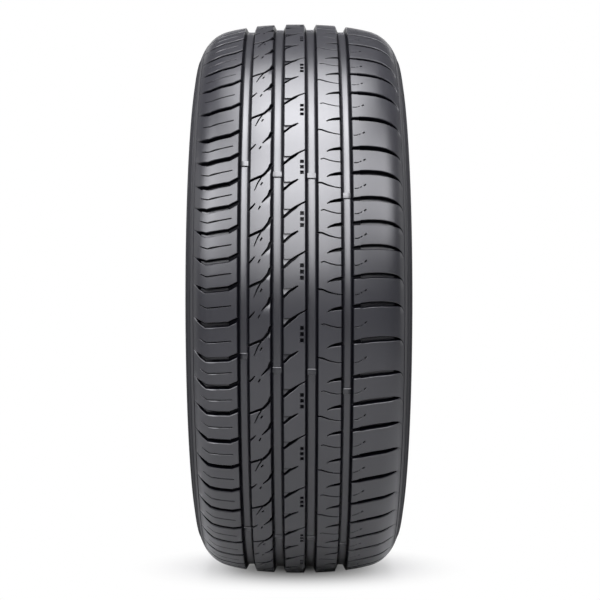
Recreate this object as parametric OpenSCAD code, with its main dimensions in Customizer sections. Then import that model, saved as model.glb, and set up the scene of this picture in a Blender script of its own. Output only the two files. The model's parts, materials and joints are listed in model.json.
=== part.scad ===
// Radial road tyre with an asymmetric tread, moulded in one piece.
// The tyre turns about +Y with its centre at the origin, and stands on its tread, +Z up.
// Until it is stood up it lies flat, with its axis along Z: a point has its radius, its
// distance "across" the tread from the tread's middle, and its distance "round" the tread.

/* [Tyre] */
// Outside diameter over the middle of the tread
outside_d = 737.7; // [720:0.1:755]
// Width over the widest part of the sidewalls
section_w = 263.6; // [255:0.1:275]
// Diameter of the bead seats, the same as that of the rim that the tyre is made for
bead_seat_d = 462; // [456:0.5:468]
// Distance between the outer faces of the two beads, the same as the rim's width
bead_spread = 203; // [192:1:210]
// How far the tread is pressed flat where the tyre stands on the ground
contact_sag = 1.5; // [1.4:0.1:2.5]

/* [Walls] */
// Thickness from the tread's surface to the inner liner
crown_t = 16.5; // [14.5:0.5:20]
// Thickness of the sidewall at its widest part
sidewall_t = 8.5; // [6:0.5:11]
// Width of each bead at its seat, from heel to toe
bead_w = 19; // [16:0.5:23]
// Length of the straight part of each bead seat
bead_seat_l = 9; // [6:0.5:10]
// Radius of each bead's heel
heel_r = 6.5; // [4:0.5:8]
// Radius of the hollow that takes the rim's flange
flange_r = 12.5; // [10:0.5:14]
// Height from the bead seat to the rim protector's edge
protector_h = 26; // [24:0.5:30]
// Slope of the sidewall, in degrees, where it meets the rim protector's edge
protector_slope = 127; // [118:1:136]

/* [Crown] */
// Radius of the tread's middle, seen in section
crown_r = 651; // [550:1:900]
// Half width of the tread's middle, where the outer ribs begin to fall away
crown_half_w = 42.3; // [38:0.1:46]
// Radius of the outer ribs, seen in section
rib_r = 282; // [240:1:340]
// Distance from the widest part of the sidewall in to where the shoulder begins
shoulder_inset = 38.7; // [36:0.1:42]
// Radius of the shoulder, seen in section
shoulder_r = 47.2; // [44:0.1:50]
// Slope of the shoulder, in degrees, where it meets the sidewall
shoulder_slope = 62; // [58:1:64]

/* [Grooves round the tread] */
// Depth of the four grooves
groove_depth = 8.3; // [7:0.1:9]
// Slope of the grooves' walls, in degrees
groove_wall = 23; // [10:1:25]
// Radius in the corners of the grooves' floors
groove_floor_r = 1.5; // [0.8:0.1:1.8]
// Middle of each groove, across the tread
groove_at = [-62.3, -24.6, 14.5, 54.6];
// Width of each groove's mouth
groove_w = [15.1, 16.3, 16, 15.1];
// Height of the wear bars that cross the grooves' floors
wear_bar_h = 1.6; // [1:0.1:2.5]
// Length of each wear bar, round the tread
wear_bar_l = 7; // [4:0.5:9]
// Number of wear bars in each groove
wear_bar_count = 10; // [6:1:12]

/* [Blocks] */
// Mean length of a pitch, after which the pattern of blocks repeats
pitch_l = 72.4; // [70:0.1:75]
// Depth of the wide grooves across the shoulders
lateral_depth = 7.2; // [5.5:0.1:8]
// Depth of the shoulder grooves over the tie bars beside the grooves round the tread
tie_bar_depth = 4.5; // [3:0.1:5.5]
// Length of the tie bars, across the tread
tie_bar_l = 9; // [6:0.5:12]
// Width of the shoulder grooves over the tie bars
tie_bar_w = 4.5; // [3.5:0.1:5]
// Width of the wide grooves across the left shoulder
left_lateral_w = 5; // [4:0.1:6]
// Width of the wide grooves across the right shoulder
right_lateral_w = 5.6; // [4.5:0.1:6.5]
// Depth of the slots that cross the ribs
slot_depth = 6.5; // [4:0.1:7]
// Depth of the thin sipes
sipe_depth = 5; // [3:0.1:6.5]
// Width of the thin sipes
sipe_w = 0.9; // [0.7:0.1:1.2]
// Slope of the chamfers on the blocks' sharp corners, in degrees
corner_slope = 18; // [12:1:24]
// Side of the square pits along the middle rib
pit_side = 4.5; // [4:0.1:5.5]
// Distance from one pit to the next
pit_step = 7; // [6:0.1:8]
// Depth of the pits
pit_depth = 1.6; // [1:0.1:2.5]

/* [Hidden] */
$fn = 128;

outside_r = outside_d / 2;
half_w = section_w / 2;
bead_r = bead_seat_d / 2;
bead_face = bead_spread / 2;

// How far a cutter reaches past the surface that it opens
clear = 3;

// The angle, in degrees, that a distance round the tread takes up
function turn(round_by) = round_by / outside_r * 180 / PI;

// Pitches: the pattern repeats with lengths that are mixed, so that the tread runs quietly
pitch_order = [10.3, 9, 10.5, 8, 7, 8, 9.8, 8, 9, 9, 9, 10.3, 7, 9, 9.8, 9,
               8, 7, 8, 9.8, 9, 8, 9, 9.8, 9, 8, 7, 9, 9.8, 8, 8, 9.8];
pitch_count = round(PI * outside_d / pitch_l);
pitches = [for (i = [0:pitch_count - 1]) pitch_order[i % len(pitch_order)]];
function sum(list, count) = count == 0 ? 0 : list[count - 1] + sum(list, count - 1);
pitch_unit = 360 / sum(pitches, pitch_count);
// Where the first pitch begins, in degrees before the front of the tyre
first_pitch_at = -66.9;

// How far each row of blocks is shifted round the tread against the right shoulder
left_shoulder_shift = -15.3;
left_rib_shift = 46.5;
middle_rib_shift = 25;
half_groove_shift = 3.9;
right_sipe_shift = 5.6;

// Section of the tread's surface: arcs of the middle, the outer ribs and the shoulder,
// each running on from the one before. A slope is an arc's angle from level, in degrees.
shoulder_at = half_w - shoulder_inset;
middle_slope = asin(crown_half_w / crown_r);
rib_centre = crown_half_w - rib_r * sin(middle_slope);
rib_centre_r = outside_r - crown_r + (crown_r - rib_r) * cos(middle_slope);
rib_slope = asin((shoulder_at - rib_centre) / rib_r);
shoulder_centre = shoulder_at - shoulder_r * sin(rib_slope);
shoulder_centre_r = rib_centre_r + (rib_r - shoulder_r) * cos(rib_slope);
tread_edge = shoulder_centre + shoulder_r * sin(shoulder_slope);
tread_edge_r = shoulder_centre_r + shoulder_r * cos(shoulder_slope);

// Radius of the tread's surface at a distance across
function crown(across) =
    let (a = abs(across))
    a <= crown_half_w ? outside_r - crown_r + sqrt(crown_r ^ 2 - a ^ 2)
    : a <= shoulder_at ? rib_centre_r + sqrt(rib_r ^ 2 - (a - rib_centre) ^ 2)
    : shoulder_centre_r + sqrt(max(0, shoulder_r ^ 2 - (a - shoulder_centre) ^ 2));

// The sidewall: an oval arc from the tread's edge, past the widest part, to the rim protector
protector_r = bead_r + protector_h;
sidewall_a = (half_w - tread_edge) / (1 - sin(shoulder_slope));
sidewall_b = (tread_edge_r - protector_r) / (cos(shoulder_slope) - cos(protector_slope));
widest_r = tread_edge_r - sidewall_b * cos(shoulder_slope);

// Thickness of the wall where its outside has a slope
function wall_t(slope) =
    slope <= rib_slope ? crown_t
    : slope >= 90 ? sidewall_t
    : sidewall_t + (crown_t - sidewall_t) * (1 + cos((slope - rib_slope) / (90 - rib_slope) * 180)) / 2;

// Points of the section, "inside" its surface by a distance
function shoulder_point(slope, inside = 0) =
    [shoulder_centre_r + (shoulder_r - inside) * cos(slope),
     shoulder_centre + (shoulder_r - inside) * sin(slope)];
function sidewall_point(slope, inside = 0) =
    [widest_r + (sidewall_b - inside) * cos(slope),
     half_w - sidewall_a + (sidewall_a - inside) * sin(slope)];

// Evenly spaced slopes
function slopes(from, to, steps) = [for (i = [0:steps]) from + (to - from) * i / steps];

// A raised line round the sidewall
line_w = 1.2;
line_h = 0.5;
function sidewall_line(slope) =
    let (half = line_w / sidewall_a * 90 / PI)
    [sidewall_point(slope - half), sidewall_point(slope - half / 2, -line_h),
     sidewall_point(slope + half / 2, -line_h), sidewall_point(slope + half)];

// The fine groove where the tread's rubber ends
edge_groove_w = 1.4;
edge_groove_depth = 0.8;
function edge_groove() =
    let (half = edge_groove_w / sidewall_a * 90 / PI, middle = shoulder_slope + 2 * half)
    [sidewall_point(middle - half), sidewall_point(middle, edge_groove_depth),
     sidewall_point(middle + half)];

// The right bead, from the rim protector down the hollow for the flange, round the heel,
// along the seat and round the toe
bead_flat = 3;
toe_drop = 1.5;
toe_lean = 4;
hollow_r = bead_r + heel_r + bead_flat;
bead_points = concat(
    [for (s = slopes(0, 90, 3))
        [hollow_r + flange_r * cos(s), bead_face + flange_r - flange_r * sin(s)]],
    [for (s = slopes(0, 90, 3))
        [bead_r + heel_r - heel_r * sin(s), bead_face - heel_r + heel_r * cos(s)]],
    [[bead_r, bead_face - heel_r - bead_seat_l],
     [bead_r - toe_drop, bead_face - bead_w + toe_drop],
     [bead_r - toe_drop / 2, bead_face - bead_w],
     [hollow_r, bead_face - bead_w + toe_lean]]);

// The outside of the right half from the shoulder down to the toe
right_outside = concat(
    [for (s = slopes(rib_slope, shoulder_slope, 5)) shoulder_point(s)],
    edge_groove(),
    sidewall_line(73),
    [for (s = slopes(77, 104, 5)) sidewall_point(s)],
    sidewall_line(108),
    [for (s = slopes(112, protector_slope, 2)) sidewall_point(s)],
    bead_points);

// The liner of the right half, from the bead up to the shoulder
right_liner = concat(
    [for (s = slopes(protector_slope - 4, shoulder_slope, 7)) sidewall_point(s, wall_t(s))],
    [for (s = slopes(shoulder_slope - 6, rib_slope, 5)) shoulder_point(s, wall_t(s))]);

function mirrored(points) =
    [for (i = [len(points) - 1:-1:0]) [points[i][0], -points[i][1]]];

// The edges of a groove's mouth, and the groove's points from edge to edge
function mouth(i, side) = groove_at[i] + side * groove_w[i] / 2;
function groove_side(i, side) =
    let (floor_at = crown(groove_at[i]) - groove_depth,
         foot = groove_w[i] / 2 - groove_depth * tan(groove_wall),
         bend = groove_floor_r * tan((90 - groove_wall) / 2))
    [[crown(mouth(i, side)), mouth(i, side)],
     [floor_at + bend * cos(groove_wall), groove_at[i] + side * (foot + bend * sin(groove_wall))],
     [floor_at, groove_at[i] + side * (foot - bend)]];
function groove(i) =
    let (left = groove_side(i, -1), right = groove_side(i, 1))
    concat(left, [right[2], right[1], right[0]]);

module body() {
    liner_top = [for (a = [crown_half_w, 0, -crown_half_w]) [crown(a) - crown_t, a]];
    rotate_extrude() polygon(concat(
        mirrored(right_outside), [for (i = [0:3]) each groove(i)], right_outside,
        right_liner, liner_top, mirrored(right_liner)));
}

// Wear bars: low bridges across each groove's floor, let a little into its floor and walls.
// Each angle is that of a groove's first bar, in degrees past the front of the tyre.
wear_bar_at = [10.4, 12.9, 13.2, 17];
module wear_bars() {
    let_in = 1;
    for (i = [0:3])
        for (k = [0:wear_bar_count - 1])
            rotate([0, 0, wear_bar_at[i] + 360 * k / wear_bar_count])
                translate([crown(groove_at[i]) - groove_depth - let_in, 0, groove_at[i]])
                    wear_bar(groove_w[i] / 2 - (groove_depth - wear_bar_h) * tan(groove_wall) + let_in / 2,
                        let_in + wear_bar_h);
}
module wear_bar(half, height) {
    translate([0, -wear_bar_l / 2, -half]) cube([height, wear_bar_l, 2 * half]);
}

// Outline of a cut with a width at each point of its path: [round, across, width]
function unit(v) = v / norm(v);
function normal_of(a, b) = let (d = unit([b[0] - a[0], b[1] - a[1]])) [-d[1], d[0]];
function side_at(path, i) =
    let (n1 = normal_of(path[max(i - 1, 0)], path[max(i, 1)]),
         n2 = normal_of(path[min(i, len(path) - 2)], path[min(i + 1, len(path) - 1)]),
         middle = unit(n1 + n2))
    middle / (middle * n1);
function outline(path) = concat(
    [for (i = [0:len(path) - 1]) [path[i][0], path[i][1]] + side_at(path, i) * path[i][2] / 2],
    [for (i = [len(path) - 1:-1:0]) [path[i][0], path[i][1]] - side_at(path, i) * path[i][2] / 2]);

// A cut straight into a rib, with a level floor. Its points lie across from the rib's middle.
function rib_at(i) = (mouth(i, 1) + mouth(i + 1, -1)) / 2;
function rib_edge(i) = (mouth(i + 1, -1) - mouth(i, 1)) / 2;
module cut(angle, at, points, depth) {
    rotate([0, 0, angle]) translate([crown(at) - depth, 0, at])
        rotate([90, 0, 90]) linear_extrude(depth + clear) polygon(points);
}

// A chamfer that slopes down to a block's sharp corner, from a line round from it by a distance
module corner(angle, at, points, from) {
    rotate([0, 0, angle]) translate([crown(at), from, at]) rotate([0, 0, -corner_slope])
        rotate([90, 0, 90]) linear_extrude(2 * clear) polygon(points);
}

// A cut whose floor follows the shoulder: stations are [across, depth]
module shoulder_cut(angle, points, stations) {
    top = outside_r + clear;
    last = len(stations) - 1;
    // More than the cut's own length round the tread
    reach = 60;
    rotate([0, 0, angle]) intersection() {
        translate([shoulder_centre_r, 0, 0])
            rotate([90, 0, 90]) linear_extrude(top - shoulder_centre_r) polygon(points);
        rotate([90, 0, 0]) linear_extrude(reach, center = true) polygon(concat(
            [for (s = stations) [crown(s[0]) - s[1], s[0]]],
            [[top + 1, stations[last][0]], [top + 1, stations[0][0]]]));
    }
}

module left_shoulder(angle, pitch) {
    foot = mouth(0, -1);
    edge = -tread_edge;
    for (k = [0, 1]) {
        shoulder_cut(angle + k * pitch / 2,
            outline([[-9.5, edge + 5.3, 1.2], [-4.2, edge + 9.1, 3], [0, edge + 17.7, left_lateral_w],
                     [-2.6, foot - tie_bar_l - 0.8, left_lateral_w], [-8.2, foot + clear, tie_bar_w]]),
            [[edge + 4.2, 0.5], [edge + 17.7, lateral_depth], [foot - tie_bar_l - 0.5, lateral_depth],
             [foot - tie_bar_l, tie_bar_depth], [foot + clear + 1, tie_bar_depth]]);
        shoulder_cut(angle + (k + 0.5) * pitch / 2,
            outline([[-4.2, edge + 11, sipe_w], [0, edge + 19.7, sipe_w], [-3.3, foot - 6.6, sipe_w]]),
            [[edge + 10.2, 2], [edge + 19.7, sipe_depth], [foot - 5.8, sipe_depth]]);
    }
}

module right_shoulder(angle, pitch) {
    foot = mouth(3, 1);
    edge = tread_edge;
    for (k = [0, 1]) {
        shoulder_cut(angle + k * pitch / 2,
            outline([[3, foot - clear, tie_bar_w], [0.6, foot + tie_bar_l + 5.1, right_lateral_w],
                     [-0.3, (foot + edge) / 2, right_lateral_w], [0.4, edge - 15.2, right_lateral_w],
                     [2.6, edge - 6.2, 1.4]]),
            [[foot - clear - 1, tie_bar_depth], [foot + tie_bar_l, tie_bar_depth],
             [foot + tie_bar_l + 0.5, lateral_depth], [edge - 16.2, lateral_depth], [edge - 3.2, 0.3]]);
        shoulder_cut(angle + (k + 0.5) * pitch / 2 + turn(right_sipe_shift),
            outline([[0, foot + 0.8, sipe_w], [-0.9, foot + 6.1, sipe_w], [-6.2, foot + 14.2, sipe_w]]),
            [[foot - 1.9, sipe_depth], [foot + 16.1, sipe_depth]]);
    }
}

module left_rib(angle, pitch) {
    at = rib_at(0);
    edge = rib_edge(0);
    cut(angle, at, outline([[1.3, -edge - clear, 2.3], [-6.4, 2.8, 2.3], [-15, 10.2, 1.7],
                            [-23.5, edge + clear, 1.5]]), slot_depth);
    cut(angle, at, outline([[-5.5, 2, 1.3], [12.2, -6.6, 0.8]]), sipe_depth);
    cut(angle, at, outline([[2.1, 2.6, 1.3], [5.7, 0.4, 1.3]]), sipe_depth);
    cut(angle + pitch / 2, at, outline([[-23.5, edge + clear, 2], [-14.6, 9.6, 2],
                                        [-6, 2, sipe_w]]), slot_depth);
    cut(angle + pitch / 2, at, outline([[-2, 0.4, 1.3], [2.2, -1.7, 1.3]]), sipe_depth);
    cut(angle + pitch / 2, at, outline([[3.8, -edge - clear, 1.8], [-5.4, -5.5, 1]]), sipe_depth);
    for (k = [0, 1])
        corner(angle + k * pitch / 2, at,
            [[0, edge - 4.5], [-8.5, edge + 2.5], [-12, edge + clear], [0, edge + clear]], -10.4);
}

module middle_rib(angle, pitch) {
    at = rib_at(1);
    edge = rib_edge(1);
    cut(angle, at, outline([[1.2, -edge - clear, 2], [-6.5, -5.6, 3], [-13.9, 4.1, 1.4],
                            [-19.6, edge + clear, 1.2]]), slot_depth);
    cut(angle + pitch / 2, at, outline([[1.2, -edge - clear, 2.6], [-6.7, -5.6, 2.6],
                                        [-12.7, 4.1, 1]]), slot_depth);
    // The middle pit's place, against a quarter of the pitch and the rib's middle
    pit_at = [-12, 8.2];
    for (i = [-1, 0, 1])
        cut(angle + pitch / 4 + turn(pit_at[0] + i * pit_step), at,
            [for (x = [-1, 1]) each [[x, -x], [x, x]] * pit_side / 2 + [[0, pit_at[1]], [0, pit_at[1]]]],
            pit_depth);
}

module right_rib(angle, pitch) {
    at = rib_at(2);
    edge = rib_edge(2);
    for (k = [0, 1])
        cut(angle + k * pitch / 2 + turn(half_groove_shift), at,
            [[-1.7, edge + clear], [-0.2, 5.5], [2, 0.2], [4.9, -3],
             [3.4, 1.4], [2.8, 6.3], [2.1, edge + clear]], slot_depth);
    cut(angle + pitch / 4 + turn(right_sipe_shift), at,
        outline([[-4.2, -9.1, sipe_w], [-1.4, 1.3, sipe_w], [0, edge + clear, sipe_w]]), sipe_depth);
    cut(angle + 3 * pitch / 4 + turn(right_sipe_shift), at,
        outline([[-6.8, -edge - clear, 1.5], [-2, 0.3, 1.3], [0, edge + clear, sipe_w]]), sipe_depth);
}

module pattern() {
    for (i = [0:pitch_count - 1]) {
        start = first_pitch_at + pitch_unit * sum(pitches, i);
        pitch = pitch_unit * pitches[i];
        left_shoulder(start + turn(left_shoulder_shift), pitch);
        left_rib(start + turn(left_rib_shift), pitch);
        middle_rib(start + turn(middle_rib_shift), pitch);
        right_rib(start, pitch);
        right_shoulder(start, pitch);
    }
}

// The ground, which presses the tread flat. The side that the tyre will stand on is at +Y.
module ground() {
    translate([-outside_r, outside_r - contact_sag, -section_w])
        cube([outside_d, contact_sag + clear, 2 * section_w]);
}

module tyre() {
    color([0.13, 0.13, 0.14]) rotate([-90, 0, 0]) difference() {
        difference() {
            union() {
                body();
                wear_bars();
            }
            ground();
        }
        pattern();
    }
}

tyre();
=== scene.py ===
import bpy
import json
import math
from mathutils import Matrix, Vector


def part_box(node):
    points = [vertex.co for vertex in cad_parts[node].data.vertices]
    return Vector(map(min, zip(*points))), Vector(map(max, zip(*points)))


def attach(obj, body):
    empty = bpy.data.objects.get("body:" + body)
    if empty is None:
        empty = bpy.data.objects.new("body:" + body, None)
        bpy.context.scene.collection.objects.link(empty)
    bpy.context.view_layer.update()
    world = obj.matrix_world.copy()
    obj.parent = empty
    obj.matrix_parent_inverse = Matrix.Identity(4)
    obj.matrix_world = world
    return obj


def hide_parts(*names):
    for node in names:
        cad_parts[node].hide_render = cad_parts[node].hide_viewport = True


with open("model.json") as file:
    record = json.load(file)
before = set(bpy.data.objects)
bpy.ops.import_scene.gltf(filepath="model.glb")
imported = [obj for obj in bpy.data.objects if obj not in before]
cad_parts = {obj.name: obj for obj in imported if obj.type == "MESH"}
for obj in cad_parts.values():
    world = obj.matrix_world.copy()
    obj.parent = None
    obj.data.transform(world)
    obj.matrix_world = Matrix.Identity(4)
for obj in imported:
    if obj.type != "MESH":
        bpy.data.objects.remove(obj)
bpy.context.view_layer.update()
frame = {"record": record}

MM = 0.001

# Driving sizes of the tyre, from the frame: its outside radius, its half width and where it
# is pressed flat on the ground
tyre_low, tyre_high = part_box("tyre")
OUTSIDE_R = tyre_high[2]
HALF_W = tyre_high[1]
CONTACT_Z = tyre_low[2]

# The section of the tread and the shoulder: three arcs that run into each other
CROWN_R = 651 * MM
CROWN_HALF_W = 42.3 * MM
RIB_R = 282 * MM
SHOULDER_AT = HALF_W - 38.7 * MM
SHOULDER_R = 47.2 * MM
SHOULDER_SLOPE = math.radians(62)

MIDDLE_SLOPE = math.asin(CROWN_HALF_W / CROWN_R)
RIB_CENTRE = CROWN_HALF_W - RIB_R * math.sin(MIDDLE_SLOPE)
RIB_CENTRE_R = OUTSIDE_R - CROWN_R + (CROWN_R - RIB_R) * math.cos(MIDDLE_SLOPE)
RIB_SLOPE = math.asin((SHOULDER_AT - RIB_CENTRE) / RIB_R)
SHOULDER_CENTRE = SHOULDER_AT - SHOULDER_R * math.sin(RIB_SLOPE)
SHOULDER_CENTRE_R = RIB_CENTRE_R + (RIB_R - SHOULDER_R) * math.cos(RIB_SLOPE)
TREAD_EDGE = SHOULDER_CENTRE + SHOULDER_R * math.sin(SHOULDER_SLOPE)
TREAD_EDGE_R = SHOULDER_CENTRE_R + SHOULDER_R * math.cos(SHOULDER_SLOPE)

# The fine line round the edge of the tread
EDGE_LINE_AT = 120.3 * MM
EDGE_LINE_W = 1.6 * MM
EDGE_LINE_DEPTH = 1.6 * MM

# Fine lines round the sidewall: slope in degrees, width and height, which is below zero in a groove
OUTER_LINE = (64, 1.4 * MM, -0.8 * MM)
UPPER_LINE = (73, 1.2 * MM, 0.5 * MM)
LOWER_LINE = (108, 1.2 * MM, 0.5 * MM)

# The beads, which fit the rim
BEAD_R = frame["record"]["mounts"][0]["dims"]["r_mm"] * MM
BEAD_FACE = 101.5 * MM
BEAD_W = 19 * MM
SEAT_L = 9 * MM
HEEL_R = 6.5 * MM
TOE_DROP = 1.5 * MM
TOE_LEAN = 4 * MM
FLANGE_R = 12.5 * MM
HOLLOW_R = BEAD_R + HEEL_R + 3 * MM
PROTECTOR_R = BEAD_R + 26 * MM
PROTECTOR_SLOPE = math.radians(127)

# The sidewall: an oval arc from the tread's edge, past the widest part, to the rim protector
SIDEWALL_A = (HALF_W - TREAD_EDGE) / (1 - math.sin(SHOULDER_SLOPE))
SIDEWALL_B = (TREAD_EDGE_R - PROTECTOR_R) / (math.cos(SHOULDER_SLOPE) - math.cos(PROTECTOR_SLOPE))
WIDEST_R = TREAD_EDGE_R - SIDEWALL_B * math.cos(SHOULDER_SLOPE)

# Thickness of the rubber, liner and all
CROWN_T = 16.5 * MM
SIDEWALL_T = 8.5 * MM

# The four grooves round the tread: middle and mouth width across
GROOVES = [(-62.3 * MM, 15.1 * MM), (-24.6 * MM, 16.3 * MM),
           (14.5 * MM, 16 * MM), (54.6 * MM, 15.1 * MM)]
GROOVE_DEPTH = 8.3 * MM
GROOVE_WALL = math.radians(23)
GROOVE_LIP = 0.9 * MM
GROOVE_FOOT = 1.5 * MM

# The shape of the lip, as shares of its size inwards and down
LIP_SHAPE = [(0, 0), (0.4, 0.34), (0.75, 1)]

# Wear bars in the grooves: how far they reach into floor and walls, the angle in degrees of the
# first one in each groove, and of the rows of bars
WEAR_BAR_H = 1.6 * MM
WEAR_BAR_L = 7 * MM
WEAR_BAR_ROUND = 0.7 * MM
WEAR_BAR_SUNK = 0.5 * MM
WEAR_BAR_AT = [10.4, 12.9, 13.2, 17]
WEAR_BAR_ROWS = [0, 41, 82, 118, 159, 195, 232, 268, 324]

# The steps of the spun body, and the angle between faces below which they shade as one
RING_STEPS = 240
SMOOTH_BELOW = math.radians(25)

# The pattern: double pitches of mixed lengths, each with one or two of every feature
PITCHES = [10.3, 9, 10.5, 8, 7, 8, 9.8, 8, 9, 9, 9, 10.3, 7, 9, 9.8, 9,
           8, 7, 8, 9.8, 9, 8, 9, 9.8, 9, 8, 7, 9, 9.8, 8, 8, 9.8]
FIRST_PITCH_AT = math.radians(-66.9)
PITCH_UNIT = 2 * math.pi / sum(PITCHES)
PITCH_STARTS = [FIRST_PITCH_AT + PITCH_UNIT * sum(PITCHES[:i]) for i in range(len(PITCHES))]

# Where in its pitch a feature comes, as shares of the pitch
BOTH = (0, 0.5)
BETWEEN = (0.25, 0.75)

# How far round a row of features lies from the start of its pitch, in mm
LEFT_SHOULDER_SHIFT = -15.3
LEFT_RIB_SHIFT = 46.5
MIDDLE_RIB_SHIFT = 25
HALF_GROOVE_SHIFT = 3.9
RIGHT_SIPE_SHIFT = 5.6
PIT_SHIFTS = (-19, -12, -5)

# The fine pattern, in mm: widths, depths, and how far cutters stand out of the tread and run on
# into the grooves
SIPE_W = 1.3
SIPE_DEPTH = 5.0
SLOT_DEPTH = 6.2
LATERAL_DEPTH = 7.2
TIE_DEPTH = 4.3
PIT_DEPTH = 2.2
CUTTER_TOP = 1.2
RUN_ON = 3.4

# The chamfered corners: how steep they fall, the step at their edge, and their run into a groove
LEFT_CORNER_FALL = math.tan(math.radians(13))
MIDDLE_CORNER_FALL = math.tan(math.radians(8))
MIDDLE_CORNER_STEP = 0.5
CORNER_RUN_ON = 3.2


def crown(across):
    """Radius of the tread's surface at a distance across the tread."""
    a = abs(across)
    if a <= CROWN_HALF_W:
        return OUTSIDE_R - CROWN_R + math.sqrt(CROWN_R ** 2 - a ** 2)
    if a <= SHOULDER_AT:
        return RIB_CENTRE_R + math.sqrt(RIB_R ** 2 - (a - RIB_CENTRE) ** 2)
    return SHOULDER_CENTRE_R + math.sqrt(max(0.0, SHOULDER_R ** 2 - (a - SHOULDER_CENTRE) ** 2))


def turn(round_by):
    """The angle that a distance round the tread takes up."""
    return round_by / OUTSIDE_R


def span(low, high, steps):
    """Evenly spaced values from low to high, both ends included."""
    return [low + (high - low) * i / steps for i in range(steps + 1)]


# Section of the body, as points (across, radius)

def wall_t(slope):
    """Thickness of the wall where its outside has a slope."""
    if slope <= RIB_SLOPE:
        return CROWN_T
    if slope >= math.pi / 2:
        return SIDEWALL_T
    share = (slope - RIB_SLOPE) / (math.pi / 2 - RIB_SLOPE)
    return SIDEWALL_T + (CROWN_T - SIDEWALL_T) * (1 + math.cos(share * math.pi)) / 2


def shoulder_point(slope, inside=0.0):
    """A point of the shoulder where it has a slope, or under it by a distance."""
    r = SHOULDER_R - inside
    return (SHOULDER_CENTRE + r * math.sin(slope), SHOULDER_CENTRE_R + r * math.cos(slope))


def sidewall_point(slope, inside=0.0):
    """A point of the sidewall where it has a slope, or behind it by a distance."""
    return (HALF_W - SIDEWALL_A + (SIDEWALL_A - inside) * math.sin(slope),
            WIDEST_R + (SIDEWALL_B - inside) * math.cos(slope))


def sidewall_line(degrees, width, height):
    """A raised line round the sidewall, or a fine groove where the height is negative."""
    slope, half = math.radians(degrees), width / SIDEWALL_A / 2
    return [sidewall_point(slope - half), sidewall_point(slope - half * 0.6, -height),
            sidewall_point(slope + half * 0.6, -height), sidewall_point(slope + half)]


def bead():
    """The right bead: the hollow for the flange, the heel, the seat and the toe."""
    points = [(BEAD_FACE + FLANGE_R - FLANGE_R * math.sin(s), HOLLOW_R + FLANGE_R * math.cos(s))
              for s in span(0, math.pi / 2, 4)]
    points += [(BEAD_FACE - HEEL_R + HEEL_R * math.cos(s), BEAD_R + HEEL_R - HEEL_R * math.sin(s))
               for s in span(0, math.pi / 2, 4)]
    points += [(BEAD_FACE - HEEL_R - SEAT_L, BEAD_R),
               (BEAD_FACE - BEAD_W + TOE_DROP, BEAD_R - TOE_DROP),
               (BEAD_FACE - BEAD_W, BEAD_R - TOE_DROP / 2),
               (BEAD_FACE - BEAD_W + TOE_LEAN, HOLLOW_R)]
    return points


def groove_side(at, width, side):
    """One side of a groove, from its lip to its floor."""
    edge = at + side * width / 2
    floor_r = crown(at) - GROOVE_DEPTH
    foot = width / 2 - GROOVE_LIP * 0.5 - GROOVE_DEPTH * math.tan(GROOVE_WALL)
    bend = GROOVE_FOOT * math.tan((math.pi / 2 - GROOVE_WALL) / 2)
    points = [(edge - side * GROOVE_LIP * inwards, crown(edge) - GROOVE_LIP * down)
              for inwards, down in LIP_SHAPE]
    for share in (0, 0.33, 0.67, 1):
        slope = (math.pi / 2 - GROOVE_WALL) * (1 - share)
        points.append((at + side * (foot - bend + GROOVE_FOOT * math.sin(slope)),
                       floor_r + GROOVE_FOOT * (1 - math.cos(slope))))
    return points


def land(low, high, steps):
    """Points on the tread's surface between two grooves, without its ends."""
    return [(a, crown(a)) for a in span(low, high, steps)[1:-1]]


def tyre_section():
    """The whole section, once round: left bead, tread, right bead and liner."""
    line = math.asin((EDGE_LINE_AT - SHOULDER_CENTRE) / SHOULDER_R)
    half = EDGE_LINE_W / SHOULDER_R / 2
    right = [shoulder_point(s) for s in span(RIB_SLOPE, line - half, 8)]
    right += [shoulder_point(line + half * side, EDGE_LINE_DEPTH) for side in (-0.5, 0.5)]
    right += [shoulder_point(s) for s in span(line + half, SHOULDER_SLOPE, 1)]
    right += sidewall_line(*OUTER_LINE)
    right += [sidewall_point(math.radians(68))]
    right += sidewall_line(*UPPER_LINE)
    right += [sidewall_point(math.radians(s)) for s in (78, 83, 88, 93, 98, 103)]
    right += sidewall_line(*LOWER_LINE)
    right += [sidewall_point(s) for s in span(math.radians(113), PROTECTOR_SLOPE, 2)]
    right += bead()
    liner = [sidewall_point(s, wall_t(s)) for s in span(PROTECTOR_SLOPE - 0.07, SHOULDER_SLOPE, 6)]
    liner += [shoulder_point(s, wall_t(s)) for s in span(SHOULDER_SLOPE - 0.1, RIB_SLOPE, 4)]
    mirrored_liner = [(-a, r) for a, r in reversed(liner)]
    liner += [(a, crown(a) - CROWN_T) for a in (CROWN_HALF_W, 0.0, -CROWN_HALF_W)]
    section = [(-a, r) for a, r in reversed(right)]
    edge = -SHOULDER_AT
    for at, width in GROOVES:
        section += land(edge, at - width / 2, 5)
        section += groove_side(at, width, -1) + list(reversed(groove_side(at, width, 1)))
        edge = at + width / 2
    section += land(edge, SHOULDER_AT, 5)
    return section + right + liner + mirrored_liner


# Making meshes

def deselect():
    """Leaves edit mode and selects nothing."""
    if bpy.context.object and bpy.context.object.mode != "OBJECT":
        bpy.ops.object.mode_set(mode="OBJECT")
    bpy.ops.object.select_all(action="DESELECT")


def only(obj):
    """Selects one object alone, and makes it the active one."""
    deselect()
    obj.select_set(True)
    bpy.context.view_layer.objects.active = obj


def select_mesh():
    """Selects the whole mesh of the active object."""
    bpy.ops.object.mode_set(mode="EDIT")
    bpy.ops.mesh.select_all(action="SELECT")
    bpy.ops.object.mode_set(mode="OBJECT")


def turned_out(obj):
    """Turns all faces of an object outwards."""
    only(obj)
    select_mesh()
    bpy.ops.object.mode_set(mode="EDIT")
    bpy.ops.mesh.normals_make_consistent(inside=False)
    bpy.ops.object.mode_set(mode="OBJECT")
    return obj


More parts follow.
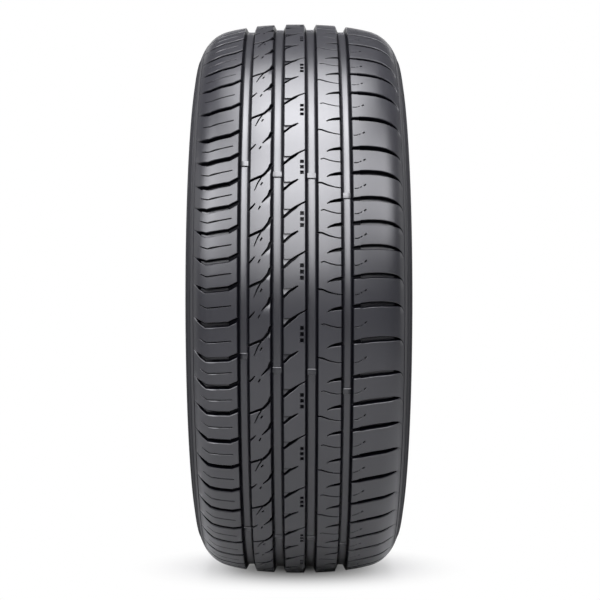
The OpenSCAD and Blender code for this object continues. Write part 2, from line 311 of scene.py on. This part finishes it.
def spun_body():
    """The tyre's section, drawn with a circle's points and spun once round the axis."""
    section = tyre_section()
    deselect()
    bpy.ops.mesh.primitive_circle_add(vertices=len(section), radius=OUTSIDE_R)
    body = bpy.context.object
    body.name = body.data.name = "tyre_rubber"
    for vertex, (across, radius) in zip(body.data.vertices, section):
        vertex.co = (radius, across, 0)
    bpy.ops.object.transform_apply()
    select_mesh()
    bpy.ops.object.mode_set(mode="EDIT")
    bpy.ops.mesh.spin(steps=RING_STEPS, angle=2 * math.pi, center=(0, 0, 0), axis=(0, 1, 0))
    bpy.ops.mesh.select_all(action="SELECT")
    bpy.ops.mesh.remove_doubles(threshold=0.01 * MM)
    bpy.ops.object.mode_set(mode="OBJECT")
    return turned_out(body)


def wrapped(across, round_by, radius):
    """A point of the tyre, from its places across and round, counted from its front, and radius."""
    angle = turn(round_by)
    return Vector((radius * math.cos(angle), across, -radius * math.sin(angle)))


def sides(path, widen):
    """Both sides of a path with mitred corners, widened at each point: (round, across, width)."""
    ways = []
    for (x0, y0, _), (x1, y1, _) in zip(path, path[1:]):
        ways.append(Vector((x1 - x0, y1 - y0)).normalized())
    left, right = [], []
    for i, (x, y, width) in enumerate(path):
        before, after = ways[max(i - 1, 0)], ways[min(i, len(ways) - 1)]
        n0, n1 = Vector((-before.y, before.x)), Vector((-after.y, after.x))
        mitre = (n0 + n1).normalized()
        offset = mitre * (max(width + widen[i], 0.1) / 2 / mitre.dot(n0))
        left.append((x + offset.x, y + offset.y))
        right.append((x - offset.x, y - offset.y))
    return left + right


def raised_level(cutter, count, points):
    """Extrudes the selected faces and moves the new level's points to their places."""
    bpy.ops.object.mode_set(mode="EDIT")
    bpy.ops.mesh.extrude_region_move()
    bpy.ops.object.mode_set(mode="OBJECT")
    for vertex, point in zip(list(cutter.data.vertices)[-count:], points):
        vertex.co = point


def channel(name, path, depth, taper=0.0, lip=0.0, foot=0.0):
    """A cutter that runs along a path, in mm: path points are (round, across, width) and may
    have a depth of their own. It has sloping walls, a rounded foot and a chamfered lip."""
    depths = [p[3] if len(p) > 3 else depth for p in path]
    path = [p[:3] for p in path]
    levels = []
    feet = [min(foot, 0.35 * d) for d in depths]
    lips = [min(lip, 0.3 * d) for d in depths]
    slopes = [taper * min(1.0, d / depth) for d in depths]
    if foot:
        levels.append(([-2 * (s + f) for s, f in zip(slopes, feet)], [-d for d in depths]))
        levels.append(([-2 * s for s in slopes], [f - d for f, d in zip(feet, depths)]))
    else:
        levels.append(([-2 * s for s in slopes], [-d for d in depths]))
    if lip:
        levels.append(([0.0] * len(path), [-l for l in lips]))
    levels.append(([2 * (l + CUTTER_TOP) if lip else 0.0 for l in lips], [CUTTER_TOP] * len(path)))
    deselect()
    bpy.ops.mesh.primitive_grid_add(x_subdivisions=len(path) - 1, y_subdivisions=1, size=1)
    cutter = bpy.context.object
    cutter.name = name
    for number, (widen, heights) in enumerate(levels):
        flat = sides(path, widen)
        points = [wrapped(y * MM, x * MM, crown(y * MM) + h * MM)
                  for (x, y), h in zip(flat, heights + heights)]
        if number:
            raised_level(cutter, len(points), points)
        else:
            for vertex, point in zip(cutter.data.vertices, points):
                vertex.co = point
            select_mesh()
    return turned_out(cutter)


def repeated(model, angles, into):
    """Copies of a cutter round the tyre, each with its own mesh. The model itself goes."""
    for angle in angles:
        copy = bpy.data.objects.new(model.name, model.data.copy())
        copy.data.transform(Matrix.Rotation(angle, 4, "Y"))
        bpy.context.collection.objects.link(copy)
        into.append(copy)
    bpy.data.objects.remove(model)


def joined(parts, name):
    """Several objects joined into one of a new name."""
    deselect()
    for part in parts:
        part.select_set(True)
    bpy.context.view_layer.objects.active = parts[0]
    bpy.ops.object.join()
    parts[0].name = name
    return parts[0]


def combine(obj, other, operation):
    """Adds the other object to this one, or cuts it out, and deletes it."""
    only(obj)
    modifier = obj.modifiers.new(operation.lower(), "BOOLEAN")
    modifier.operation = operation
    modifier.solver = "MANIFOLD"
    modifier.object = other
    bpy.ops.object.modifier_apply(modifier=modifier.name)
    bpy.data.objects.remove(other)


def mouth(number, side):
    """The edge of a groove's mouth across the tread, in mm."""
    at, width = GROOVES[number]
    return (at + side * width / 2) / MM


def places(shift, shares):
    """Angles of a feature: once in each pitch for each share of it, shifted round by mm."""
    return [start + pitch * PITCH_UNIT * share + turn(shift * MM)
            for start, pitch in zip(PITCH_STARTS, PITCHES) for share in shares]


def left_shoulder(cuts):
    """Wide curved grooves across the left shoulder, and a sipe between each two."""
    foot = mouth(0, -1)
    repeated(channel("left_lateral", [
        (-10.2, -119.3, 0.8, 0.5), (-7.6, -116.8, 1.8, 1.6), (-5.2, -113.6, 3.4, 2.4),
        (-3.2, -110.8, 4.8, 6.4), (0, -105, 6, LATERAL_DEPTH), (-1.2, -92.5, 6, LATERAL_DEPTH),
        (-2.5, -79.4, 6, LATERAL_DEPTH), (-2.7, -78.6, 5.6, TIE_DEPTH),
        (-7.2, foot, 5.2, TIE_DEPTH), (-9, foot + RUN_ON, 5, TIE_DEPTH)],
        LATERAL_DEPTH, taper=1.1, lip=0.35, foot=0.8), places(LEFT_SHOULDER_SHIFT, BOTH), cuts)
    repeated(channel("left_sipe", [
        (-4.2, -112.2, 0.7, 2), (-1.6, -107.4, SIPE_W, 4), (0, -103.5, SIPE_W), (-1.6, -90, SIPE_W),
        (-3.3, -75.8, SIPE_W)], SIPE_DEPTH, lip=0.15), places(LEFT_SHOULDER_SHIFT, BETWEEN), cuts)


def right_shoulder(cuts):
    """Wide grooves across the right shoulder, and a broken sipe between each two."""
    foot = mouth(3, 1)
    repeated(channel("right_lateral", [
        (3.2, foot - RUN_ON, 4.4, TIE_DEPTH), (2.4, foot, 4.6, TIE_DEPTH), (1.5, foot + 7, 5.2, TIE_DEPTH),
        (1.4, foot + 7.8, 6.3, LATERAL_DEPTH), (0.2, 80, 6.5, LATERAL_DEPTH),
        (-0.3, 91, 6.5, LATERAL_DEPTH), (0, 101, 6.2, LATERAL_DEPTH), (0.6, 108.5, 5.2, LATERAL_DEPTH - 1),
        (1.6, 112.6, 3.6, 4), (2.8, 115.2, 1.8, 2), (5.2, 117.2, 1, 1.2), (9.6, 118.8, 0.8, 0.6)],
        LATERAL_DEPTH, taper=1.2, lip=0.35, foot=0.8), places(0, BOTH), cuts)
    dashes = {"right_dash_1": ([(0, 62.9, 1.2), (-0.3, 66.3, 1.2), (-1.3, 68.4, 1.2)], 0.12),
              "right_dash_2": ([(-1.6, 69.3, 1.2), (-2.9, 71.2, 1.2)], 0.12),
              "right_dash_3": ([(-3.9, 73.6, 1.6), (-6.2, 76.1, 1.7)], 0.15)}
    for name, (path, lip) in dashes.items():
        repeated(channel(name, path, SIPE_DEPTH, lip=lip), places(RIGHT_SIPE_SHIFT, BETWEEN), cuts)


def left_rib(cuts, crossing):
    """Forked slots across the left rib. The branch that crosses a slot is cut on its own."""
    left, right = mouth(0, 1), mouth(1, -1)
    first, second = places(LEFT_RIB_SHIFT, (0,)), places(LEFT_RIB_SHIFT, (0.5,))
    repeated(channel("lightning", [
        (1.3, left - RUN_ON, 3), (-2.6, -50, 3.1), (-6.4, -41, 3.2), (-8.4, -39, 3.2),
        (-14.6, -34, 3.3), (-20.4, right + 0.6, 3.1), (-23.5, right + RUN_ON, 3.1)],
        SLOT_DEPTH, taper=0.2, lip=0.2), first, cuts)
    repeated(channel("diagonal", [
        (-23.5, right + RUN_ON, 3.3), (-20.2, right + 0.5, 3.3), (-14.65, -34.1, 3.1), (-9.6, -38.6, 2.2),
        (-6.05, -41.8, 1.2, 4)], SLOT_DEPTH, taper=0.2, lip=0.2), second, cuts)
    repeated(channel("dash_1", [(2.1, -41.1, 1.7), (5.7, -43.4, 1.6)], SIPE_DEPTH, lip=0.15), first, cuts)
    repeated(channel("dash_2", [(-1.95, -43.4, 1.7), (2.15, -45.5, 1.6)], SIPE_DEPTH, lip=0.15),
             second, cuts)
    repeated(channel("notch", [(3.9, left - RUN_ON, 2.3), (1.65, left - 0.7, 2.3), (-1.25, -52.6, 2.1),
                               (-5.35, -49.3, 1.2, 3)], SIPE_DEPTH, lip=0.15), second, cuts)
    repeated(channel("branch", [(-5.5, -41.8, 1.6), (2.4, -46.4, 1.5), (12.2, -50.4, 0.9, 3)],
                     SIPE_DEPTH, lip=0.12), first, crossing)


def middle_rib(cuts):
    """Long and short slanting slots on the middle rib, and groups of three square pits."""
    left, right = mouth(1, 1), mouth(2, -1)
    repeated(channel("long_slot", [
        (1.2, left - RUN_ON, 2.8), (-0.5, left, 3.2), (-6.5, -10.4, 4), (-10.6, -4.7, 3.6),
        (-13.9, -0.65, 2.2), (-18.2, right + 0.6, 1.7), (-20, right + RUN_ON, 1.7)],
        SLOT_DEPTH, taper=0.3, lip=0.2), places(MIDDLE_RIB_SHIFT, (0,)), cuts)
    repeated(channel("short_slot", [
        (1.2, left - RUN_ON, 2.8), (-0.6, left, 3.2), (-6.7, -10.4, 3.3), (-10.3, -4.7, 2.8),
        (-12.7, -0.65, 1.4, 4)], SLOT_DEPTH, taper=0.3, lip=0.2), places(MIDDLE_RIB_SHIFT, (0.5,)), cuts)
    pit = [(-2.3, 3.5, 4.3), (2.3, 3.5, 4.3)]
    for shift in PIT_SHIFTS:
        repeated(channel("pit", pit, PIT_DEPTH, taper=0.2, lip=0.1),
                 places(MIDDLE_RIB_SHIFT + shift, (0.25,)), cuts)


def right_rib(cuts):
    """Tapered half grooves on the right rib, with a short or long curved sipe between each two."""
    left, right = mouth(2, 1), mouth(3, -1)
    repeated(channel("half_groove", [
        (0.3, right + RUN_ON, 4.4), (0.2, right, 4.4), (1.3, 40.6, 3.6), (2.7, 35.4, 2.3),
        (4.8, 31.7, 1, 2.5)], SLOT_DEPTH, taper=0.5, lip=0.2, foot=0.5),
        places(HALF_GROOVE_SHIFT, BOTH), cuts)
    repeated(channel("short_sipe", [
        (-2.9, 24.7, SIPE_W), (-4.2, 27.9, SIPE_W), (-1.6, 35.3, SIPE_W), (0, 42.6, SIPE_W),
        (0, right + RUN_ON, SIPE_W)], SIPE_DEPTH, lip=0.12), places(RIGHT_SIPE_SHIFT, (0.25,)), cuts)
    repeated(channel("long_sipe", [
        (-6.4, left - RUN_ON, 2), (-5.6, 26.3, 2.2), (-2.8, 32.8, 1.9), (-0.8, 40.2, SIPE_W),
        (0, 45, SIPE_W), (0, right + RUN_ON, SIPE_W)], SIPE_DEPTH, lip=0.15),
        places(RIGHT_SIPE_SHIFT, (0.75,)), cuts)


def prism(name, points):
    """A cutter with a sloping floor: points are (round, across, depth), in mm."""
    deselect()
    bpy.ops.mesh.primitive_circle_add(vertices=len(points), radius=1, fill_type="NGON")
    cutter = bpy.context.object
    cutter.name = name
    for vertex, (x, y, depth) in zip(cutter.data.vertices, points):
        vertex.co = wrapped(y * MM, x * MM, crown(y * MM) - depth * MM)
    bpy.ops.object.transform_apply()
    select_mesh()
    raised_level(cutter, len(points), [wrapped(y * MM, x * MM, crown(y * MM) + CUTTER_TOP * MM)
                                       for x, y, _ in points])
    return turned_out(cutter)


def corners(chamfers):
    """Chamfers on the blocks' sharp corners, which fall away up the tread."""
    edge, start = mouth(1, -1), -8.4
    points = [(start, edge - 6.8), (start - 10.5, edge + 2.5), (start - 12, edge + CORNER_RUN_ON),
              (start, edge + CORNER_RUN_ON)]
    repeated(prism("left_rib_corner", [(x, y, (start - x) * LEFT_CORNER_FALL) for x, y in points]),
             places(LEFT_RIB_SHIFT, BOTH), chamfers)
    edge, start = mouth(1, 1), -3.1
    points = [(start, edge - CORNER_RUN_ON), (start - 6.7, edge - CORNER_RUN_ON),
              (start - 6.7, edge + 8.7), (start, edge + 0.2)]
    repeated(prism("middle_rib_corner",
                   [(x, y, (start - x) * MIDDLE_CORNER_FALL + MIDDLE_CORNER_STEP) for x, y in points]),
             places(MIDDLE_RIB_SHIFT, BOTH), chamfers)


def wear_bars(bars):
    """Low rounded bridges across the floors of the grooves."""
    for (at, width), first in zip(GROOVES, WEAR_BAR_AT):
        floor_r = crown(at) - GROOVE_DEPTH
        half = width / 2 - (GROOVE_DEPTH - WEAR_BAR_H) * math.tan(GROOVE_WALL) + WEAR_BAR_SUNK
        deselect()
        bpy.ops.mesh.primitive_cube_add(size=1,
                                        location=(floor_r + WEAR_BAR_H / 2 - WEAR_BAR_SUNK, at, 0),
                                        scale=(WEAR_BAR_H + 2 * WEAR_BAR_SUNK, 2 * half, WEAR_BAR_L))
        bar = bpy.context.object
        bpy.ops.object.transform_apply()
        bpy.ops.object.mode_set(mode="EDIT")
        bpy.ops.mesh.select_all(action="DESELECT")
        bpy.ops.object.mode_set(mode="OBJECT")
        for edge in bar.data.edges:
            ends = [bar.data.vertices[i].co for i in edge.vertices]
            edge.select = all(e.x > floor_r for e in ends) and abs(ends[0].z - ends[1].z) < MM
        bpy.ops.object.mode_set(mode="EDIT")
        bpy.ops.mesh.bevel(offset=WEAR_BAR_ROUND, segments=3)
        bpy.ops.object.mode_set(mode="OBJECT")
        repeated(bar, [math.radians(first + row) for row in WEAR_BAR_ROWS], bars)


def ground():
    """A block under the tyre, which presses the tread flat."""
    deselect()
    bpy.ops.mesh.primitive_cube_add(size=OUTSIDE_R, location=(0, 0, CONTACT_Z - OUTSIDE_R / 2))
    block = bpy.context.object
    bpy.ops.object.transform_apply()
    return block


def tyre():
    """The whole tyre: the spun body with its wear bars, cut by the pattern and pressed flat."""
    body = spun_body()
    bars, cuts, crossing, chamfers = [], [], [], []
    wear_bars(bars)
    combine(body, joined(bars, "wear_bars"), "UNION")
    left_shoulder(cuts)
    right_shoulder(cuts)
    left_rib(cuts, crossing)
    middle_rib(cuts)
    right_rib(cuts)
    corners(chamfers)
    combine(body, joined(chamfers, "chamfers"), "DIFFERENCE")
    combine(body, joined(cuts, "cuts"), "DIFFERENCE")
    combine(body, joined(crossing, "crossing_cuts"), "DIFFERENCE")
    combine(body, ground(), "DIFFERENCE")
    only(body)
    bpy.ops.object.shade_smooth_by_angle(angle=SMOOTH_BELOW)
    return body


# Finishes

def node(tree, kind, place, **values):
    """A node at a place, with its plain settings and socket values given by name."""
    made = tree.nodes.new(kind)
    made.location = place
    for name, value in values.items():
        if hasattr(made, name):
            setattr(made, name, value)
        else:
            made.inputs[name.replace("_", " ")].default_value = value
    return made


def ranged(tree, place, value, **values):
    """A value put into a new range, whose ends are given by name."""
    made = node(tree, "ShaderNodeMapRange", place, **values)
    tree.links.new(value, made.inputs["Value"])
    return made.outputs["Result"]


def maths(tree, place, operation, *values):
    """Arithmetic on one or two values, each a plain number or a value of another node."""
    made = node(tree, "ShaderNodeMath", place, operation=operation)
    for value, socket in zip(values, made.inputs):
        if isinstance(value, float):
            socket.default_value = value
        else:
            tree.links.new(value, socket)
    return made.outputs["Value"]


def distance(tree, place, point, counted):
    """How far a point is from the origin, with each of its three coordinates counted by a share."""
    flat = node(tree, "ShaderNodeVectorMath", place, operation="MULTIPLY")
    flat.inputs[1].default_value = counted
    length = node(tree, "ShaderNodeVectorMath", (place[0] + 200, place[1]), operation="LENGTH")
    tree.links.new(point, flat.inputs[0])
    tree.links.new(flat.outputs["Vector"], length.inputs[0])
    return length.outputs["Value"]


def mixed(tree, place, share, first, second):
    """Two colours mixed by a share. The first may be the colour of another node."""
    made = node(tree, "ShaderNodeMix", place, data_type="RGBA")
    made.inputs["B"].default_value = second
    if isinstance(first, tuple):
        made.inputs["A"].default_value = first
    else:
        tree.links.new(first, made.inputs["A"])
    tree.links.new(share, made.inputs["Factor"])
    return made.outputs["Result"]


# The rubber: its two blended colours, the painted shade of its recesses, and its satin skin
RUBBER_DARK = (0.01, 0.01, 0.012, 1)
RUBBER_PALE = (0.015, 0.015, 0.018, 1)
RECESS_SHADE_COLOUR = (0.002, 0.002, 0.003, 1)
CLOUD_SCALE = 14.0
BASE_GLOSS = 0.05
SKIN_ROUGHNESS = 0.33
SKIN_IOR = 1.6
SIDEWALL_SKIN = 0.1
SATIN, DULLER_SATIN = 0.3, 0.36
SIDEWALL_DULL = 0.5
GRAIN_SCALE = 1600.0
GRAIN_STRENGTH = 0.12
GRAIN_DEPTH = 0.2 * MM

# The sidewall's duller finish starts and is full at these places across
WALL_STARTS, WALL_FULL = TREAD_EDGE - 8 * MM, TREAD_EDGE + 2 * MM

# Painted shade in the recesses: it darkens their colour between these depths. The floors of the grooves
# round the tread lie deeper, and are as pale as the lands
RECESS_SHADE_STARTS, RECESS_SHADE_FULL = 0.9 * MM, 1.7 * MM
RECESS_SHADE_FADES, RECESS_SHADE_ENDS = 6.2 * MM, 6.7 * MM

# The curve of the tread's surface in the material: its lowest radius and number of steps
CURVE_LOW_R = TREAD_EDGE_R - 5 * MM
CURVE_STEPS = 14


def depth_below_crown(tree, across, place):
    """How deep a point lies under the tread's surface: the surface's own curve less its radius."""
    link = tree.links.new
    share = maths(tree, (-1300, -700), "DIVIDE", across, HALF_W)
    curve = node(tree, "ShaderNodeFloatCurve", (-1100, -700))
    points = curve.mapping.curves[0].points
    levels = [(a / HALF_W, (crown(a) - CURVE_LOW_R) / (OUTSIDE_R - CURVE_LOW_R))
              for a in span(0, TREAD_EDGE, CURVE_STEPS)]
    points[0].location = levels[0]
    points[1].location = (1, 0)
    for level in levels[1:]:
        points.new(*level)
    curve.mapping.update()
    link(share, curve.inputs["Value"])
    surface = ranged(tree, (-800, -700), curve.outputs["Value"], To_Min=CURVE_LOW_R, To_Max=OUTSIDE_R)
    radius = distance(tree, (-1300, -950), place, (1, 0, 1))
    return maths(tree, (-600, -800), "SUBTRACT", surface, radius)


def rubber():
    """Black rubber with a fine grain, painted shade in its recesses, and a satin skin that recesses lack
    and sidewalls have less of.
    """
    material = bpy.data.materials.new("tyre_rubber")
    material.use_nodes = True
    tree = material.node_tree
    shader = tree.nodes["Principled BSDF"]
    shader.inputs["Specular IOR Level"].default_value = BASE_GLOSS
    shader.inputs["Coat Roughness"].default_value = SKIN_ROUGHNESS
    shader.inputs["Coat IOR"].default_value = SKIN_IOR
    link = tree.links.new
    place = node(tree, "ShaderNodeTexCoord", (-1600, 0)).outputs["Object"]
    cloud = node(tree, "ShaderNodeTexNoise", (-1000, 250), Scale=CLOUD_SCALE, Detail=3.0)
    grain = node(tree, "ShaderNodeTexNoise", (-1000, -350), Scale=GRAIN_SCALE, Detail=2.0)
    parts = node(tree, "ShaderNodeSeparateXYZ", (-1300, -80))
    link(place, cloud.inputs["Vector"])
    link(place, grain.inputs["Vector"])
    link(place, parts.inputs["Vector"])

    across = maths(tree, (-1100, -120), "ABSOLUTE", parts.outputs["Y"])
    wall = ranged(tree, (-800, -150), across, From_Min=WALL_STARTS, From_Max=WALL_FULL)
    tread = ranged(tree, (-400, -450), across, From_Min=TREAD_EDGE, From_Max=TREAD_EDGE - MM)
    # Painted shade: a mask of the recesses by their depth under the tread's surface, on the tread only
    depth = depth_below_crown(tree, across, place)
    under = ranged(tree, (-400, -700), depth, From_Min=RECESS_SHADE_STARTS, From_Max=RECESS_SHADE_FULL)
    above = ranged(tree, (-400, -950), depth, From_Min=RECESS_SHADE_ENDS, From_Max=RECESS_SHADE_FADES)
    recess_shade = maths(tree, (-200, -800), "MULTIPLY", under, above)
    recess_shade = maths(tree, (0, -700), "MULTIPLY", recess_shade, tread)

    colour = mixed(tree, (-700, 300), cloud.outputs["Fac"], RUBBER_DARK, RUBBER_PALE)
    # The painted shade darkens the recesses' colour, and the satin coat is left off there as well
    link(mixed(tree, (-450, 300), recess_shade, colour, RECESS_SHADE_COLOUR), shader.inputs["Base Color"])
    tread_skin = ranged(tree, (-200, -350), recess_shade, To_Min=1.0, To_Max=0.0)
    wall_skin = ranged(tree, (-200, -550), wall, To_Min=1.0, To_Max=SIDEWALL_SKIN)
    link(maths(tree, (0, -400), "MULTIPLY", tread_skin, wall_skin), shader.inputs["Coat Weight"])
    satin = ranged(tree, (-750, 50), cloud.outputs["Fac"], To_Min=SATIN, To_Max=DULLER_SATIN)
    dull = maths(tree, (-500, -150), "MULTIPLY", wall, SIDEWALL_DULL)
    link(maths(tree, (-250, 0), "ADD", satin, dull), shader.inputs["Roughness"])
    bump = node(tree, "ShaderNodeBump", (-500, -350), Strength=GRAIN_STRENGTH, Distance=GRAIN_DEPTH)
    link(grain.outputs["Fac"], bump.inputs["Height"])
    link(bump.outputs["Normal"], shader.inputs["Normal"])
    return material


body = tyre()
body.data.materials.clear()
body.data.materials.append(rubber())
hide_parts("tyre")
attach(body, "root")


# The stage: a round pale floor whose edge sweeps up into a low wall

FLOOR_GREY = 0.36
FLOOR_ROUGHNESS = 0.9
STAGE_R = 4.5
STAGE_STEPS = 96
WALL_H = 2.4
SWEEP_R = 1.2
SWEEP_STEPS = 16

# The floor's plain white: as seen, its distances from the tyre's foot where it starts and is
# full, with each coordinate counted by a share, and as mirrored, its places behind the tyre
WHITE_FROM, WHITE_FULL = 0.0, 0.18
WHITE_SHARES = (1, 0.75, 0)
MIRRORED_FROM, MIRRORED_FULL = 0.1, -0.7


def studio_white():
    """Pale floor that keeps the tyre's shadow, and shows as plain white away from it."""
    material = bpy.data.materials.new("studio_white")
    material.use_nodes = True
    tree = material.node_tree
    link = tree.links.new
    shader = tree.nodes["Principled BSDF"]
    shader.inputs["Base Color"].default_value = (FLOOR_GREY, FLOOR_GREY, FLOOR_GREY, 1)
    shader.inputs["Roughness"].default_value = FLOOR_ROUGHNESS
    white = node(tree, "ShaderNodeEmission", (0, -200), Strength=1.0)
    rays = node(tree, "ShaderNodeLightPath", (-900, 300)).outputs
    place = node(tree, "ShaderNodeTexCoord", (-1300, -100)).outputs["Object"]
    parts = node(tree, "ShaderNodeSeparateXYZ", (-900, 0))
    link(place, parts.inputs["Vector"])
    away = distance(tree, (-1100, -250), place, WHITE_SHARES)
    clear = ranged(tree, (-650, -250), away, interpolation_type="SMOOTHSTEP",
                   From_Min=WHITE_FROM, From_Max=WHITE_FULL)
    behind = ranged(tree, (-650, 0), parts.outputs["X"], interpolation_type="SMOOTHSTEP",
                    From_Min=MIRRORED_FROM, From_Max=MIRRORED_FULL)
    mirrored = maths(tree, (-650, 200), "MAXIMUM", rays["Is Glossy Ray"], rays["Is Transmission Ray"])
    seen_white = maths(tree, (-400, 200), "MULTIPLY", rays["Is Camera Ray"], clear)
    mirrored_white = maths(tree, (-400, 0), "MULTIPLY", mirrored, behind)
    mix = node(tree, "ShaderNodeMixShader", (250, 0))
    link(maths(tree, (-200, 50), "MAXIMUM", seen_white, mirrored_white), mix.inputs["Fac"])
    link(shader.outputs["BSDF"], mix.inputs[1])
    link(white.outputs["Emission"], mix.inputs[2])
    link(mix.outputs["Shader"], tree.nodes["Material Output"].inputs["Surface"])
    return material


def sweep():
    """The floor, with its edge extruded into a wall and the corner between them rounded."""
    deselect()
    bpy.ops.mesh.primitive_circle_add(vertices=STAGE_STEPS, radius=STAGE_R, fill_type="NGON",
                                      location=(0, 0, CONTACT_Z))
    floor = bpy.context.object
    floor.name = "studio_floor"
    bpy.ops.object.transform_apply()
    bpy.ops.object.mode_set(mode="EDIT")
    bpy.ops.mesh.select_all(action="SELECT")
    bpy.ops.mesh.region_to_loop()
    bpy.ops.mesh.extrude_edges_move(TRANSFORM_OT_translate={"value": (0, 0, WALL_H)})
    bpy.ops.object.mode_set(mode="OBJECT")
    for edge in floor.data.edges:
        edge.select = all(floor.data.vertices[i].co.z < CONTACT_Z + WALL_H / 2 for i in edge.vertices)
    bpy.ops.object.mode_set(mode="EDIT")
    bpy.ops.mesh.bevel(offset=SWEEP_R, segments=SWEEP_STEPS)
    bpy.ops.object.mode_set(mode="OBJECT")
    bpy.ops.object.shade_smooth()
    return floor


floor = sweep()
floor.data.materials.append(studio_white())


# Lights and camera

# The point that the softboxes light, their distance from it, and how wide their light spreads
LIT_POINT = Vector((0.2, 0, 0.15))
LAMP_AWAY = 2.2
LAMP_SPREAD = math.radians(80)
LAMP_COLOUR = (0.96, 0.96, 1)

# The softboxes: angle up, angle aside, width and height in metres, and how bright the face is
SOFTBOXES = {
    "top_box": (85, 0, (1.5, 1.6), 1.7),
    "middle_box": (60, 0, (0.95, 1.8), 2.05),
    "front_box": (30, 0, (1.2, 1.8), 1.85),
    "left_box": (48, -42, (2.3, 2.0), 1.7),
    "right_box": (50, 37, (1.8, 1.8), 1.25),
}

WORLD_COLOUR = (0.12, 0.12, 0.13, 1)

# The camera's distance, lens and shift, fitted to the photo's outline of the tyre
CAMERA_AWAY = 1.9807
CAMERA_LENS = 86.8
CAMERA_SHIFT = (0.0018, -0.0023)


def softbox(name, height, aside, size, level):
    """A softbox aimed at the tread."""
    up, side = math.radians(height), math.radians(aside)
    data = bpy.data.lights.new(name, "AREA")
    data.shape = "RECTANGLE"
    data.size, data.size_y = size
    data.spread = LAMP_SPREAD
    data.energy = level * math.pi * size[0] * size[1]
    data.color = LAMP_COLOUR
    lamp = bpy.data.objects.new(name, data)
    bpy.context.collection.objects.link(lamp)
    away = Vector((math.cos(up) * math.cos(side), math.sin(side), math.sin(up) * math.cos(side)))
    lamp.location = LIT_POINT + LAMP_AWAY * away
    lamp.rotation_euler = away.to_track_quat("Z", "Y").to_euler()


for name, settings in SOFTBOXES.items():
    softbox(name, *settings)

world = bpy.data.worlds.new("studio")
bpy.context.scene.world = world
world.use_nodes = True
world.node_tree.nodes["Background"].inputs["Color"].default_value = WORLD_COLOUR

camera_data = bpy.data.cameras.new("camera")
camera = bpy.data.objects.new("camera", camera_data)
bpy.context.collection.objects.link(camera)
bpy.context.scene.camera = camera
camera.location = (CAMERA_AWAY, 0, 0)
camera.rotation_euler = (math.pi / 2, 0, math.pi / 2)
camera_data.lens = CAMERA_LENS
camera_data.shift_x, camera_data.shift_y = CAMERA_SHIFT

bpy.context.scene.view_settings.view_transform = "Standard"
